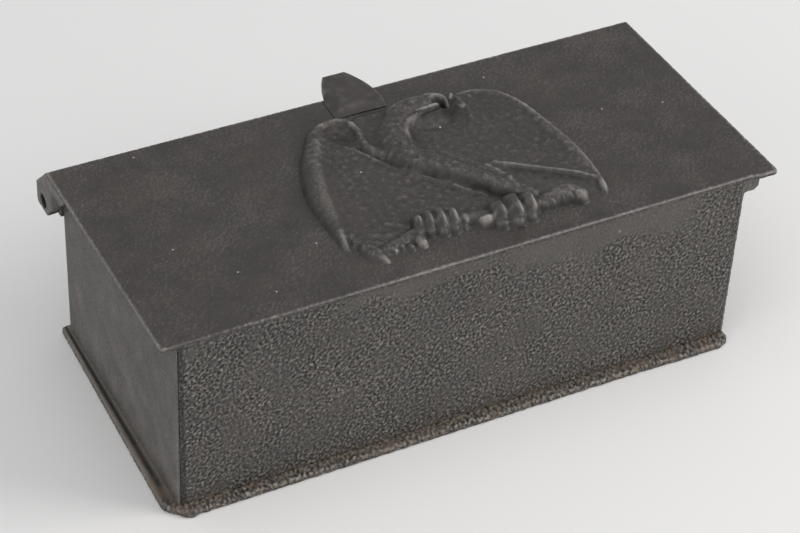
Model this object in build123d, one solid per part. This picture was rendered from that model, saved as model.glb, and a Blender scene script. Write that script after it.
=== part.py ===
from build123d import *
import os

# Deed box of cast-iron plates with a hinged lid, in millimetres.
# +X runs along the box to its right end, +Y to the hinged rear and +Z up.
# The origin is midway between the walls, on the base plate's underside.

# ---------------------------------------------------------------- body
body_length = 260.0
body_depth = 120.0
closed_height = 90.0
wall_thickness = 4.0
corner_lap = 1.2

# ---------------------------------------------------------------- base plate
base_thickness = 3.5
base_overhang = 4.0
base_right_overhang = 1.0
base_corner_clip = 8.0
base_corner_radius = 2.5

# ---------------------------------------------------------------- right end's ledge
ledge_width = 7.2
ledge_height = 6.4
ledge_edge_radius = 2.5

# ---------------------------------------------------------------- corner irons
iron_leg = 14.0
iron_thickness = 3.0
iron_foot = 4.0
iron_top_gap = 6.0

# ---------------------------------------------------------------- lid
lid_thickness = 2.2
lid_corner_radius = 0.8
lid_front_overhang = 0.5
lid_rear_overhang = 1.5

# ---------------------------------------------------------------- hinge
pin_radius = 3.0
pin_recess = 2.0
pin_behind_wall = 7.5
pin_below_lid = 17.2
ear_thickness = 4.5
ear_wall_gap = 1.5
ear_ledge_gap = 2.3
ear_front_reach = 5.4
ear_rear_reach = 7.9
ear_bottom_reach = 5.2
ear_corner_radius = 2.5
ear_foot_length = 19.0
ear_foot_thickness = 1.5
ear_brace_drop = 2.5
ear_shoulder_rise = 5.6
ear_top_step = 1.0
lug_radius = 5.8
lug_neck = 9.6
lug_pad_height = 17.2
lug_thickness = 8.5
lug_pad_thickness = 3.0
lug_rivet_margin = 1.0

# ---------------------------------------------------------------- tongue on the lid's rear
tongue_thickness = 2.0
tongue_left_of_middle = 2.0
tongue_root_width = 24.4
tongue_tip_width = 10.6
tongue_on_lid = 15.0
tongue_straight = 4.0
tongue_edge_width = 22.0
tongue_rivet_margin = 0.6

# ---------------------------------------------------------------- eagle relief
relief_width = 123.0
relief_from_left = 87.0
relief_front_margin = 8.5
relief_tongue_gap = 3.0
wing_web = 1.6
wing_plate = 3.2
wing_edge_radius = 4.2
wing_tip_radius = 3.4
neck_radius = 6.5
chest_radius = 9.5
tail_radius = 5.0
head_radius = 6.2
beak_radius = 2.6
log_radius = 5.6
log_sink = 0.8
toe_radius = 2.8
toe_pitch = 5.8
toe_reach = 3.6
toe_rise = 4.2
knuckle_swell = 1.02

# ---------------------------------------------------------------- fasteners
corner_screw_radius = 2.0
corner_screw_bite = 2.5
corner_screw_head_radius = 3.5
corner_screw_head_height = 2.0
front_screw_places = (0.15, 0.75)
end_screw_places = (0.30, 0.90)
base_screw_radius = 2.5
base_screw_head_radius = 4.6
base_screw_recess = 0.3
lug_rivet_radius = 2.0
lug_rivet_head_height = 1.6
ear_rivet_radius = 1.3
ear_rivet_flare = 0.9
ear_rivet_bite = 4.2
ear_rivet_places = (0.25, 0.70)
tongue_rivet_radius = 2.0
relief_rivet_radius = 1.8
relief_rivet_bite = 2.6
relief_rivet_head_height = 1.4
rivet_head_ratio = 1.7

# ---------------------------------------------------------------- clearances
fastener_clearance = 0.05
pin_press = 0.02
pin_running = 0.08
ear_side_gap = 0.2
stop_gap = 0.3

# ---------------------------------------------------------------- places that follow from the sizes
body_left = -body_length / 2
body_right = body_length / 2
front_y = -body_depth / 2
rear_y = body_depth / 2
inner_left = body_left + wall_thickness
inner_right = body_right - wall_thickness
inner_front = front_y + wall_thickness
inner_rear = rear_y - wall_thickness
base_left = body_left - base_overhang
base_right = body_right + base_right_overhang
base_front = front_y - base_overhang
base_rear = rear_y + base_overhang

lid_under = closed_height - lid_thickness
iron_top = lid_under - iron_top_gap

lid_left = body_left - ear_wall_gap - ear_thickness
lid_right = body_right + ledge_width + ear_ledge_gap + ear_thickness
lid_front = front_y - lid_front_overhang
lid_rear = rear_y + lid_rear_overhang
lid_middle = (lid_left + lid_right) / 2

pin_y = rear_y + pin_behind_wall
pin_z = lid_under - pin_below_lid

lug_rivet_head_radius = lug_rivet_radius * rivet_head_ratio
lug_rivet_inset = lug_rivet_head_radius + lug_rivet_margin
lug_rivet_x = inner_right - iron_leg - lug_rivet_inset
lug_pad_width = inner_right - lug_rivet_x + lug_rivet_inset

tongue_middle = lid_middle - tongue_left_of_middle
tongue_root_y = lid_rear - tongue_on_lid
tongue_tip_y = rear_y + 2 * pin_behind_wall - stop_gap


def block(x_range, y_range, z_range):
    """A box between two limits on each axis."""
    spans = (x_range, y_range, z_range)
    size = [high - low for low, high in spans]
    middle = [(low + high) / 2 for low, high in spans]
    return Pos(*middle) * Box(*size)


def rod(start, direction, radius, length):
    """A round bar from a point along a direction."""
    plane = Plane(origin=start, z_dir=direction)
    return extrude(plane * Circle(radius), length)


def cone(start, end, start_radius, end_radius):
    """A tapered round bar from one point to another."""
    axis = Vector(*end) - Vector(*start)
    near = Plane(origin=start, z_dir=axis)
    far = Plane(origin=end, z_dir=axis)
    return loft([near * Circle(start_radius), far * Circle(end_radius)])


def rivet(start, direction, radius, grip, head_height):
    """A rivet with a domed head at each end of its grip."""
    head_radius = radius * rivet_head_ratio
    way = Vector(*direction).normalized()
    near = Vector(*start)
    far = near + way * grip
    shank = rod(near, way, radius, grip)
    near_head = cone(near, near - way * head_height, head_radius, radius)
    far_head = cone(far, far + way * head_height, head_radius, radius)
    return shank + near_head + far_head


# ---------------------------------------------------------------- base plate
base_edge = Polyline(
    (base_left, base_front + base_corner_clip),
    (base_left + base_corner_clip, base_front),
    (base_right, base_front),
    (base_right, base_rear),
    (base_left, base_rear),
    close=True,
)
base_outline = make_face(base_edge.edges())
base_outline = fillet(base_outline.vertices().group_by(Axis.X)[-1], base_corner_radius)
base_outline = fillet(base_outline.vertices().group_by(Axis.X)[0].sort_by(Axis.Y)[-1], base_corner_radius)
base_plate = extrude(base_outline, base_thickness)


# ---------------------------------------------------------------- wall panels
lap_left = body_left + corner_lap
lap_right = body_right - corner_lap
wall_rise = (base_thickness, lid_under)
front_panel = block((lap_left, lap_right), (front_y, inner_front), wall_rise)
rear_panel = block((lap_left, lap_right), (inner_rear, rear_y), wall_rise)

# Each end panel laps over the ends of the front and rear panels.
left_end_panel = block((body_left, lap_left), (front_y, rear_y), wall_rise)
left_end_panel += block((lap_left, inner_left), (inner_front, inner_rear), wall_rise)

right_end_panel = block((lap_right, body_right), (front_y, rear_y), wall_rise)
right_end_panel += block((inner_right, lap_right), (inner_front, inner_rear), wall_rise)
ledge_rise = (lid_under - ledge_height, lid_under)
ledge = block((body_right, body_right + ledge_width), (front_y, rear_y), ledge_rise)
ledge_edge = ledge.edges().filter_by(Axis.Y).group_by(Axis.Z)[0].sort_by(Axis.X)[-1]
right_end_panel += fillet(ledge_edge, ledge_edge_radius)


# ---------------------------------------------------------------- corner irons, their screws and the base screws
def corner_iron(x_sign, y_sign):
    """An upright angle in one inner corner, with a foot on the base plate."""
    corner_x = inner_right * x_sign
    corner_y = inner_rear * y_sign
    leg_x = sorted((corner_x, corner_x - iron_leg * x_sign))
    leg_y = sorted((corner_y, corner_y - iron_leg * y_sign))
    thin_x = sorted((corner_x, corner_x - iron_thickness * x_sign))
    thin_y = sorted((corner_y, corner_y - iron_thickness * y_sign))
    rise = (base_thickness, iron_top)
    angle = block(leg_x, thin_y, rise) + block(thin_x, leg_y, rise)
    return angle + block(leg_x, leg_y, (base_thickness, base_thickness + iron_foot))


def corner_screw(start, direction, clearance=0.0):
    """A screw from the iron's inner face through it into the wall."""
    way = Vector(*direction)
    length = iron_thickness + corner_screw_bite + clearance
    shank = rod(start, way, corner_screw_radius + clearance, length)
    if clearance:
        return shank
    return shank + rod(start, -way, corner_screw_head_radius, corner_screw_head_height)


def base_screw(x, y, clearance=0.0):
    """A countersunk screw from below into an iron's foot."""
    radius = base_screw_radius + clearance
    head_radius = base_screw_head_radius + clearance
    head_low = 0.0 if clearance else base_screw_recess
    head_high = base_screw_recess + head_radius - radius
    shank = rod((x, y, head_high), (0, 0, 1), radius, base_thickness + iron_foot - head_high)
    head = cone((x, y, base_screw_recess), (x, y, head_high), head_radius, radius)
    if head_low < base_screw_recess:
        head += rod((x, y, head_low), (0, 0, 1), head_radius, base_screw_recess)
    return shank + head


irons = {}
corner_screws = []
base_screws = []
screw_offset = (iron_leg + iron_thickness) / 2
iron_low = base_thickness + iron_foot
iron_rise = iron_top - iron_low
for x_sign, x_name in ((-1, "left"), (1, "right")):
    for y_sign, y_name in ((-1, "front"), (1, "rear")):
        iron = corner_iron(x_sign, y_sign)
        foot_x = (inner_right - screw_offset) * x_sign
        foot_y = (inner_rear - screw_offset) * y_sign
        face_x = (inner_right - iron_thickness) * x_sign
        face_y = (inner_rear - iron_thickness) * y_sign
        for place in front_screw_places:
            start = (foot_x, face_y, iron_low + iron_rise * place)
            corner_screws.append(corner_screw(start, (0, y_sign, 0)))
            hole = corner_screw(start, (0, y_sign, 0), fastener_clearance)
            iron -= hole
            if y_sign < 0:
                front_panel -= hole
            else:
                rear_panel -= hole
        for place in end_screw_places:
            start = (face_x, foot_y, iron_low + iron_rise * place)
            corner_screws.append(corner_screw(start, (x_sign, 0, 0)))
            hole = corner_screw(start, (x_sign, 0, 0), fastener_clearance)
            iron -= hole
            if x_sign < 0:
                left_end_panel -= hole
            else:
                right_end_panel -= hole
        base_screws.append(base_screw(foot_x, foot_y))
        hole = base_screw(foot_x, foot_y, fastener_clearance)
        iron -= hole
        base_plate -= hole
        irons[f"corner_iron_{y_name}_{x_name}"] = iron


# ---------------------------------------------------------------- lid plate
lid_outline = Pos(lid_middle, (lid_front + lid_rear) / 2) * RectangleRounded(
    lid_right - lid_left, lid_rear - lid_front, lid_corner_radius
)
lid_plate = Pos(0, 0, lid_under) * extrude(lid_outline, lid_thickness)


# ---------------------------------------------------------------- hinge lugs on the rear panel, with pins and rivets
def hinge_lug(side, length):
    """A knuckle beside the lid ear, on a pad riveted to the rear panel; side is -1 or 1."""
    outer = (lid_left if side < 0 else lid_right) - side * (ear_thickness + ear_side_gap)
    inner = outer - side * length
    pad_outer = inner_right * side
    neck = Polyline((rear_y, pin_z + lug_neck / 2), (rear_y, pin_z - lug_neck / 2))
    eye = Pos(pin_y, pin_z) * Circle(lug_radius)
    profile = Plane.YZ * make_hull([*neck.edges(), *eye.edges()])
    knuckle = Pos(min(outer, inner), 0, 0) * extrude(profile, length)
    pad_x = sorted((pad_outer, pad_outer - side * lug_pad_width))
    pad_z = (pin_z - lug_pad_height / 2, pin_z + lug_pad_height / 2)
    pad = block(pad_x, (rear_y, rear_y + lug_pad_thickness), pad_z)
    bore = rod((min(outer, inner), pin_y, pin_z), (1, 0, 0), pin_radius + pin_press, length)
    return knuckle + pad - bore


def hinge_pin(side):
    """A plain pin, pressed in the lug, that the lid ear turns on."""
    edge = lid_left if side < 0 else lid_right
    length = ear_thickness + ear_side_gap + lug_thickness - pin_recess
    return rod((edge - side * pin_recess, pin_y, pin_z), (-side, 0, 0), pin_radius, length)


left_lug_length = lug_thickness
right_lug_length = lug_thickness + lid_right - body_right - (body_left - lid_left)
hinge_lugs = {"left": hinge_lug(-1, left_lug_length), "right": hinge_lug(1, right_lug_length)}
hinge_pins = {"left": hinge_pin(-1), "right": hinge_pin(1)}

lug_rivets = []
for side, name in ((-1, "left"), (1, "right")):
    x = side * lug_rivet_x
    for way in (-1, 1):
        height = pin_z + way * (lug_pad_height / 2 - lug_rivet_inset)
        grip = wall_thickness + lug_pad_thickness
        start = (x, inner_rear, height)
        lug_rivets.append(rivet(start, (0, 1, 0), lug_rivet_radius, grip, lug_rivet_head_height))
        hole = rod(start, (0, 1, 0), lug_rivet_radius + fastener_clearance, grip)
        rear_panel -= hole
        hinge_lugs[name] -= hole


# ---------------------------------------------------------------- lid ears and their rivets
def lid_ear(edge):
    """A braced bracket under the lid's edge whose arm hangs behind the lid and turns on the pin."""
    arm_front = pin_y - ear_front_reach
    arm_rear = pin_y + ear_rear_reach
    arm_low = pin_z - ear_bottom_reach
    foot_front = lid_rear - ear_foot_length
    outline = Polyline(
        (foot_front, lid_under - ear_foot_thickness),
        (foot_front, lid_under),
        (lid_rear, lid_under),
        (lid_rear, lid_under + ear_top_step),
        (lid_rear + ear_top_step, lid_under + ear_top_step),
        (arm_rear, pin_z + ear_shoulder_rise),
        (arm_rear, arm_low),
        (arm_front, arm_low),
        (arm_front, pin_z - ear_brace_drop),
        close=True,
    )
    profile = make_face(outline.edges())
    low_corners = profile.vertices().group_by(Axis.Y)[0]
    profile = fillet(low_corners, ear_corner_radius)
    ear = Pos(edge, 0, 0) * extrude(Plane.YZ * profile, ear_thickness)
    bore = rod((edge, pin_y, pin_z), (1, 0, 0), pin_radius + pin_running, ear_thickness)
    return ear - bore


def ear_rivet(x, y, clearance=0.0):
    """A drive rivet from the lid's top, flared flush there, with its end buried in the ear."""
    radius = ear_rivet_radius + clearance
    low = lid_under - ear_rivet_bite - clearance
    flare_low = closed_height - ear_rivet_flare
    shank = rod((x, y, low), (0, 0, 1), radius, closed_height - low)
    return shank + cone((x, y, flare_low), (x, y, closed_height), radius, radius + ear_rivet_flare)


lid_ears = {"left": lid_ear(lid_left), "right": lid_ear(lid_right - ear_thickness)}
ear_rivets = []
for name, edge in (("left", lid_left), ("right", lid_right - ear_thickness)):
    for place in ear_rivet_places:
        x = edge + ear_thickness / 2
        y = lid_rear - ear_foot_length * place
        ear_rivets.append(ear_rivet(x, y))
        hole = ear_rivet(x, y, fastener_clearance)
        lid_plate -= hole
        lid_ears[name] -= hole


# ---------------------------------------------------------------- tongue and its rivets
def tongue_half(side):
    """The tongue's edge from root to tip on one side."""
    root = (side * tongue_root_width / 2, tongue_root_y)
    bend = (side * tongue_root_width / 2, tongue_root_y + tongue_straight)
    at_edge = (side * tongue_edge_width / 2, lid_rear)
    tip = (side * tongue_tip_width / 2, tongue_tip_y)
    return [Line(root, bend), ThreePointArc(bend, at_edge, tip)]


root_line = Line((-tongue_root_width / 2, tongue_root_y), (tongue_root_width / 2, tongue_root_y))
tip_line = Line((-tongue_tip_width / 2, tongue_tip_y), (tongue_tip_width / 2, tongue_tip_y))
tongue_outline = make_face([*tongue_half(-1), *tongue_half(1), root_line, tip_line])
lid_tongue = Pos(tongue_middle, 0, closed_height) * extrude(tongue_outline, tongue_thickness)

tongue_rivets = []
for side in (-1, 1):
    head_radius = tongue_rivet_radius * rivet_head_ratio
    x = tongue_middle + side * tongue_root_width / 4
    y = tongue_root_y + head_radius + tongue_rivet_margin
    grip = lid_thickness + tongue_thickness
    shank = rod((x, y, lid_under), (0, 0, 1), tongue_rivet_radius, grip)
    head = cone(
        (x, y, lid_under),
        (x, y, lid_under - relief_rivet_head_height),
        head_radius,
        tongue_rivet_radius,
    )
    tongue_rivets.append(shank + head)
    hole = rod((x, y, lid_under), (0, 0, 1), tongue_rivet_radius + fastener_clearance, grip)
    lid_plate -= hole
    lid_tongue -= hole


# ---------------------------------------------------------------- eagle relief
relief_left = lid_left + relief_from_left
relief_low = lid_front + relief_front_margin
relief_depth = tongue_root_y - relief_tongue_gap - relief_low


def spot(across, up, height=0.0):
    """A point on the relief, in percent of its width and depth, at a height over the lid."""
    x = relief_left + relief_width * across / 100
    y = relief_low + relief_depth * up / 100
    return (x, y, closed_height + height)


def web(points, height):
    """A flat piece of wing on the lid with a closed outline."""
    corners = [spot(across, up) for across, up in points]
    outline = make_face(Polyline(*corners, close=True).edges())
    return extrude(outline, height, dir=(0, 0, 1))


def bar(points, radius):
    """A half-round bar along a row of points on the lid."""
    places = [spot(across, up) for across, up in points]
    solid = Pos(*places[0]) * Sphere(radius * knuckle_swell)
    for near, far in zip(places, places[1:]):
        solid += cone(near, far, radius, radius)
        solid += Pos(*far) * Sphere(radius * knuckle_swell)
    return solid


def limb(start, end, start_radius, end_radius):
    """A rounded taper on the lid between two spots."""
    solid = cone(spot(*start), spot(*end), start_radius, end_radius)
    return solid + Pos(*spot(*end)) * Sphere(end_radius * knuckle_swell)


left_wing_edge = [(28, 95), (19, 90), (11.5, 78), (7, 62), (4.6, 48), (3.6, 33), (5, 17)]
left_wing_arm = [(28, 95), (33, 87), (35, 75), (43, 66)]
left_wing_web = [(28, 95), (11.5, 78), (4.6, 48), (5, 17), (12, 8), (70, 8), (70, 18), (46, 66), (35, 75)]
right_wing_edge = [(74, 92), (83, 92.5), (91, 84), (95, 68), (96.5, 50), (96.8, 28), (96, 12)]
right_wing_web = [(57, 62), (74, 92), (83, 92.5), (95, 68), (96.8, 28), (96, 12), (75, 34), (66, 28)]

eagle = web(left_wing_web, wing_web) + web(right_wing_web, wing_plate)
eagle += bar(left_wing_edge, wing_edge_radius)
eagle += bar(left_wing_arm, wing_edge_radius)
eagle += bar(right_wing_edge, wing_tip_radius)

# The body slants from the chest down to the tail, and the neck rises to the head and beak.
chest = (42.5, 62)
tail = (68.5, 19)
throat = (46, 79)
nape = (51.5, 89)
crown = (57.5, 90)
beak = (69, 91)
eagle += Pos(*spot(*chest)) * Sphere(chest_radius * knuckle_swell)
eagle += limb(chest, tail, chest_radius, tail_radius)
eagle += limb(chest, throat, chest_radius, neck_radius)
eagle += limb(throat, nape, neck_radius, neck_radius)
eagle += limb(nape, crown, neck_radius, head_radius)
eagle += limb(crown, beak, head_radius, beak_radius)

# The log lies along the foot of the relief, and the toes of each claw close over it.
log_line = [(14, 10), (30, 13), (88, 8)]
for near, far in zip(log_line, log_line[1:]):
    eagle += cone(spot(*near, -log_sink), spot(*far, -log_sink), log_radius, log_radius)
eagle += Pos(*spot(*log_line[1], -log_sink)) * Sphere(log_radius * knuckle_swell)
claws = [((36, 11.5), (-1.5, -0.5, 0.5, 1.5)), ((62, 8.5), (-1.0, 0.0, 1.0))]
for claw, toes in claws:
    for toe in toes:
        x, y, z = spot(*claw, toe_rise)
        x += toe_pitch * toe
        top_joint = (x, y + toe_reach, z)
        low_joint = (x, y - toe_reach, z)
        eagle += cone(low_joint, top_joint, toe_radius, toe_radius)
        eagle += Pos(*top_joint) * Sphere(toe_radius * knuckle_swell)
        eagle += Pos(*low_joint) * Sphere(toe_radius * knuckle_swell)

lid_space = block(
    (relief_left - relief_width, relief_left + 2 * relief_width),
    (relief_low - relief_depth, relief_low + 2 * relief_depth),
    (closed_height, closed_height + relief_width),
)
eagle_relief = eagle & lid_space

relief_rivets = []
relief_rivet_spots = [chest, (96.5, 50), (22, 11.5), (76, 9)]
for rivet_spot in relief_rivet_spots:
    x, y, _ = spot(*rivet_spot)
    grip = lid_thickness + relief_rivet_bite
    low = lid_under - relief_rivet_head_height
    head_radius = relief_rivet_radius * rivet_head_ratio
    shank = rod((x, y, lid_under), (0, 0, 1), relief_rivet_radius, grip)
    head = cone((x, y, lid_under), (x, y, low), head_radius, relief_rivet_radius)
    relief_rivets.append(shank + head)
    hole = rod(
        (x, y, lid_under), (0, 0, 1), relief_rivet_radius + fastener_clearance, grip + fastener_clearance
    )
    lid_plate -= hole
    eagle_relief -= hole


# ---------------------------------------------------------------- export
nodes = {
    "base_plate": base_plate,
    "base_screws": Compound(base_screws),
    "front_panel": front_panel,
    "rear_panel": rear_panel,
    "left_end_panel": left_end_panel,
    "right_end_panel": right_end_panel,
    **irons,
    "corner_screws": Compound(corner_screws),
    "hinge_lug_left": hinge_lugs["left"],
    "hinge_lug_right": hinge_lugs["right"],
    "hinge_lug_rivets": Compound(lug_rivets),
    "hinge_pin_left": hinge_pins["left"],
    "hinge_pin_right": hinge_pins["right"],
    "lid_plate": lid_plate,
    "lid_ear_left": lid_ears["left"],
    "lid_ear_right": lid_ears["right"],
    "lid_ear_rivets": Compound(ear_rivets),
    "lid_tongue": lid_tongue,
    "lid_tongue_rivets": Compound(tongue_rivets),
    "eagle_relief": eagle_relief,
    "eagle_relief_rivets": Compound(relief_rivets),
}

os.makedirs("parts", exist_ok=True)
for name, shape in nodes.items():
    export_step(shape, f"parts/{name}.step")
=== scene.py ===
import math

import bmesh
import bpy
import numpy as np
from mathutils import Matrix, Vector


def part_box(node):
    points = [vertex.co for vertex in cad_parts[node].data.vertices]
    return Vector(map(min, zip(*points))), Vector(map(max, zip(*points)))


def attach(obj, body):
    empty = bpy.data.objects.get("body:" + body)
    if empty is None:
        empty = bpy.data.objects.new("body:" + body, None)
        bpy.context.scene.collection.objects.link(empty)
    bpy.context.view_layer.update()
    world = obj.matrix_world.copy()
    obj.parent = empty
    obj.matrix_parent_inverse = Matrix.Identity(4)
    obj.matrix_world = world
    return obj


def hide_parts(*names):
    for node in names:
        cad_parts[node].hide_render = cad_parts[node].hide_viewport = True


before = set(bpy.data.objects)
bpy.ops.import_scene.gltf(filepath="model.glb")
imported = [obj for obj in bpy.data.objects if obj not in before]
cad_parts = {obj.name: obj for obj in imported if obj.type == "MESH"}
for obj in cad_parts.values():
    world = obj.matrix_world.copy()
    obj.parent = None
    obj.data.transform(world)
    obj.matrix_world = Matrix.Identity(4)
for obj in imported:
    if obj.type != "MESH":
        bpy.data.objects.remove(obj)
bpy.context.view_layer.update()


# -------- camera
# A long lens stands in front of the box, to its left and well above it,
# and is rolled a little, so the box lies across the whole frame.
def put(name, data):
    """A new object in the scene."""
    made = bpy.data.objects.new(name, data)
    bpy.context.scene.collection.objects.link(made)
    return made


mm = 0.001
camera_place = Vector((-392.85, -710.77, 708.03)) * mm
camera_turn = math.radians(28.881)
camera_dip = math.radians(39.45)
camera_roll = math.radians(2.997)

camera = put("camera", bpy.data.cameras.new("camera"))
camera.data.lens = 110.07
camera.data.clip_start = 10 * mm
ahead = Vector((
    math.sin(camera_turn) * math.cos(camera_dip),
    math.cos(camera_turn) * math.cos(camera_dip),
    -math.sin(camera_dip),
))
level = Vector((math.cos(camera_turn), -math.sin(camera_turn), 0))
upward = level.cross(ahead)
camera_x = level * math.cos(camera_roll) + upward * math.sin(camera_roll)
camera_y = upward * math.cos(camera_roll) - level * math.sin(camera_roll)
camera_axes = Matrix((camera_x, camera_y, -ahead)).transposed()
camera.matrix_world = Matrix.Translation(camera_place) @ camera_axes.to_4x4()
bpy.context.scene.camera = camera
bpy.context.scene.view_settings.view_transform = "Standard"


# -------- table and backdrop
# The box stands on a sheet of pale paper that runs on behind it. The room
# around it is as pale, so nothing dark shows in the iron's dull shine.
def node(tree, kind, inputs=(), out=0, **settings):
    """An output of a new node of a tree. Each input is a value or another node's output."""
    made = tree.nodes.new(kind)
    for key, value in settings.items():
        setattr(made, key, value)
    for socket, value in dict(inputs).items():
        if isinstance(value, bpy.types.NodeSocket):
            tree.links.new(value, made.inputs[socket])
        else:
            made.inputs[socket].default_value = value
    return made.outputs[out]


def maths(tree, operation, first, second):
    """The result of one sum in a tree."""
    return node(tree, "ShaderNodeMath", {0: first, 1: second}, operation=operation)


def mapped(tree, value, low, high, to_low, to_high):
    """A value between low and high, drawn out to lie between to_low and to_high."""
    return node(tree, "ShaderNodeMapRange", {
        "Value": value, "From Min": low, "From Max": high, "To Min": to_low, "To Max": to_high
    })


def clouds(tree, size, detail, roughness):
    """Soft noise on a piece, with clouds about size across in mm."""
    return node(tree, "ShaderNodeTexNoise", {
        "Vector": node(tree, "ShaderNodeTexCoord", out="Object"), "Scale": 1 / (size * mm),
        "Detail": detail, "Roughness": roughness,
    })


def ramp(tree, value, *stops):
    """The colour that goes with a value. Each stop is a value and its colour."""
    colour = node(tree, "ShaderNodeValToRGB", {"Fac": value})
    elements = colour.node.color_ramp.elements
    elements[0].position, elements[1].position = stops[0][0], stops[-1][0]
    for place, _ in stops[1:-1]:
        elements.new(place)
    for element, (_, tone) in zip(elements, stops):
        element.color = (*tone, 1)
    return colour


def new_material(name):
    """A material with its tree and what goes into its shader."""
    material = bpy.data.materials.new(name)
    material.use_nodes = True
    return material, material.node_tree, material.node_tree.nodes["Principled BSDF"].inputs


def new_mesh(name, points, faces=()):
    """A mesh of points in mm."""
    mesh = bpy.data.meshes.new(name)
    mesh.from_pydata((np.array(points) * mm).tolist(), [], faces)
    return mesh


paper_half = 2000
paper, tree, shader = new_material("paper")
shader["Roughness"].default_value = 0.9
shader["Specular IOR Level"].default_value = 0.2
paper_tone = ramp(tree, clouds(tree, 500, 2.0, 0.5), (0, (0.86, 0.855, 0.85)), (1, (0.92, 0.915, 0.91)))
tree.links.new(paper_tone, shader["Base Color"])
paper_corners = [(x * paper_half, y * paper_half, 0) for x, y in ((-1, -1), (1, -1), (1, 1), (-1, 1))]
floor = put("floor", new_mesh("floor", paper_corners, [(0, 1, 2, 3)]))
floor.data.materials.append(paper)

room = bpy.data.worlds.new("room")
bpy.context.scene.world = room
room.use_nodes = True
tree = room.node_tree
glow = tree.nodes["Background"].inputs
glow["Color"].default_value = (0.97, 0.98, 1.0, 1)
rays = [node(tree, "ShaderNodeLightPath", out=kind) for kind in ("Is Camera Ray", "Is Transmission Ray")]
tree.links.new(mapped(tree, maths(tree, "MAXIMUM", *rays), 0, 1, 0.42, 0.80), glow["Strength"])


# -------- lamps
# One wide soft lamp stands on the right and a little in front. A wide one
# overhead and a weak one on the left open the shadows.
def soft_lamp(name, place, size, power, tint):
    """A square soft lamp that faces the middle of the box."""
    lamp = put(name, bpy.data.lights.new(name, "AREA"))
    lamp.data.size = size
    lamp.data.energy = power
    lamp.data.color = tint
    lamp.location = place
    lamp.rotation_euler = (box_middle - Vector(place)).to_track_quat("-Z", "Y").to_euler()


box_middle = Vector((0, 0, 0.05))
soft_lamp("key_lamp", (1.36, -0.80, 0.92), 0.95, 16.0, (1.0, 0.985, 0.965))
soft_lamp("top_lamp", (-0.5, -0.3, 2.45), 2.4, 18.4, (1.0, 0.99, 0.98))
soft_lamp("left_lamp", (-2.2, -0.8, 0.8), 1.8, 10.8, (1.0, 0.975, 0.96))


# -------- base plate
# A thin plate of grey iron, cast in open sand, that stands out all round
# the walls. Its front left corner is cut off, its edge is chipped and it has
# rusted most where the walls meet it.
def box_of(plain):
    """The lowest and the highest corner of a plain node, in mm."""
    low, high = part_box(plain)
    return low / mm, high / mm


def turns_of(count, pitch):
    """How finely each part of a grid's spectrum repeats, in turns per mm."""
    sides = [np.fft.fftfreq(side, pitch) for side in count[:-1]] + [np.fft.rfftfreq(count[-1], pitch)]
    return np.sqrt(sum(side ** 2 for side in np.meshgrid(*sides, indexing="ij")))


def bumps_on(count, pitch, spacing, spread, seed):
    """Soft random bumps about spacing apart at the points of a grid."""
    noise = np.random.default_rng(seed).standard_normal(count)
    passed = np.exp(-(((turns_of(count, pitch) * spacing - 1) / spread) ** 2))
    passed.flat[0] = 0
    bumps = np.fft.irfftn(np.fft.rfftn(noise) * passed, s=count)
    return bumps / bumps.std()


def read_off(grid, places):
    """What a grid holds at places between its points. They are given in steps along each side."""
    lows = [np.floor(place).astype(int) for place in places]
    total = 0
    for step in np.ndindex(*(2,) * grid.ndim):
        share = 1
        for far, place, low in zip(step, places, lows):
            share = share * (place - low if far else 1 - (place - low))
        corner = tuple((low + far) % side for low, far, side in zip(lows, step, grid.shape))
        total = total + share * grid[corner]
    return total


def cast_skin(size, spacing, spread, seed):
    """Soft bumps over a plate, about spacing apart, as the sand of a mould leaves them."""
    pitch = spacing / 6
    count = [math.ceil(side / pitch) + 2 for side in size]
    bumps = bumps_on(count, pitch, spacing, spread, seed)
    return lambda *places: read_off(
        bumps, [np.clip(place / pitch, 0, side - 1.001) for place, side in zip(places, count)]
    )


def stations(length, edge, step):
    """Places along one side of a plate, close together where its two edges are rounded."""
    rounded = edge * np.array([0, 0.08, 0.3, 0.62])
    flat = np.linspace(edge, length - edge, max(2, round((length - 2 * edge) / step)) + 1)
    return np.concatenate([rounded, flat, (length - rounded)[::-1]])


def smooth(low, high, value):
    """0 below low, 1 above high, and a smooth rise between."""
    t = np.clip((value - low) / (high - low), 0, 1)
    return t * t * (3 - 2 * t)


def corners(grid):
    """What a grid holds at the four corners of each of its cells."""
    return grid[:-1, :-1], grid[1:, :-1], grid[1:, 1:], grid[:-1, 1:]


def points_of(mesh):
    """The points of a mesh, in mm."""
    points = np.empty((len(mesh.vertices), 3), np.float32)
    mesh.vertices.foreach_get("co", points.ravel())
    return points.astype(float) / mm


def mark(mesh, name, values):
    """Gives each point of a mesh a value from 0 to 1, which its finish reads by name."""
    marks = mesh.attributes.new(name, "FLOAT", "POINT").data
    marks.foreach_set("value", np.clip(values, 0, 1).astype(np.float32))


def welded(mesh):
    """A mesh opened to be worked on, with its doubled points joined."""
    shell = bmesh.new()
    shell.from_mesh(mesh)
    bmesh.ops.remove_doubles(shell, verts=shell.verts, dist=1e-6)
    return shell


def put_back(shell, mesh):
    """Puts what was worked on back into a mesh."""
    shell.to_mesh(mesh)
    shell.free()


def show(name, mesh, material, body, plain):
    """A finished piece on its body, in place of the plain node that it stands for."""
    piece = put(name, mesh)
    mesh.materials.clear()
    mesh.materials.append(material)
    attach(piece, body)
    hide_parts(plain)


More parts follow.
